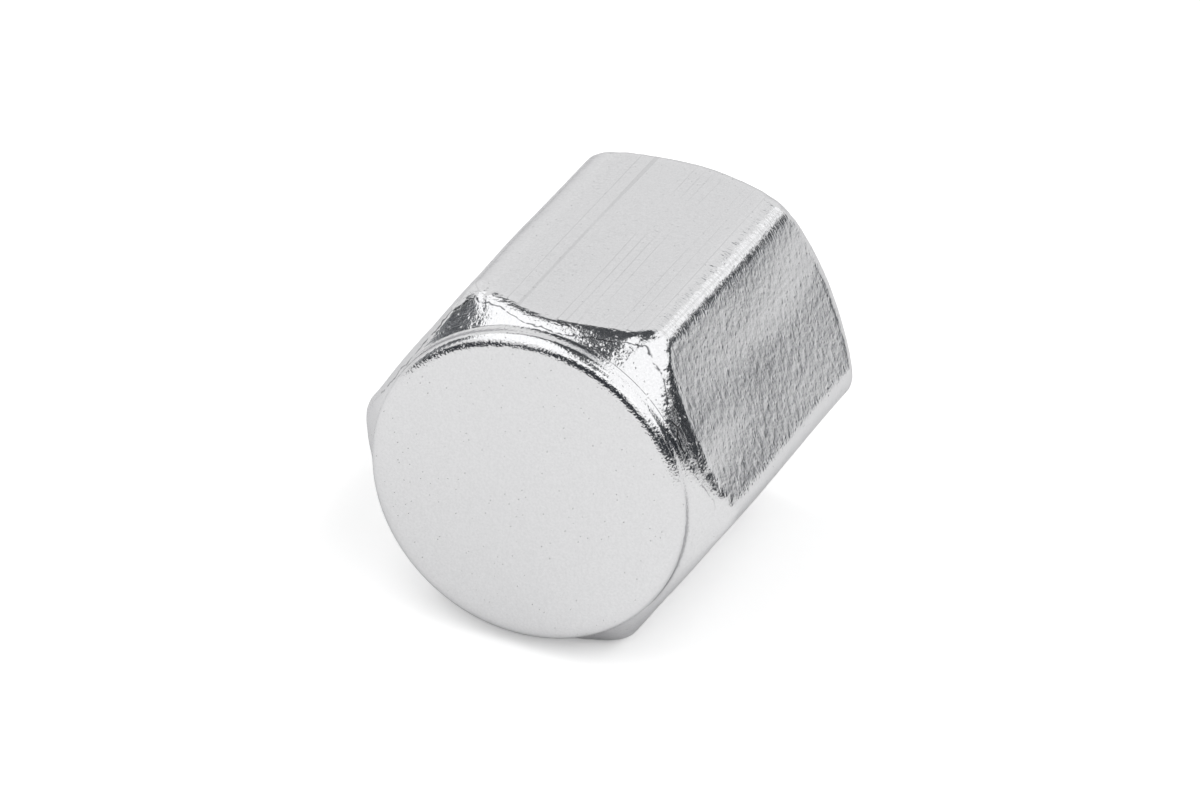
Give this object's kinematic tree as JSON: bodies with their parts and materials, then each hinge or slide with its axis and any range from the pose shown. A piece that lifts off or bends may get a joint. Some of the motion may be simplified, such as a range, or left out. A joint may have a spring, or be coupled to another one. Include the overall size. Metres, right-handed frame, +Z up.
{
  "type": "tyre valve cap",
  "caption": "Hexagonal metal tyre valve cap with a round flat head, chamfered ends and a blind threaded bore that holds a rubber sealing washer.",
  "frame": {"origin": "middle of the cap's box, on the surface that its lower flat lies on", "axes": "+Z up; +Y along the cap's axis, from the round closed head to the open mouth; +X towards a corner of the hexagon"},
  "size_m": [0.0124, 0.0134, 0.011],
  "materials": {
    "plated_metal": "bright nickel-chrome plating over tumbled brass, finely pitted",
    "washer_rubber": "matt moulded rubber"
  },
  "bodies": {
    "root": {"cap_body": "plated_metal", "seal_washer": "washer_rubber"}
  },
  "joints": []
}
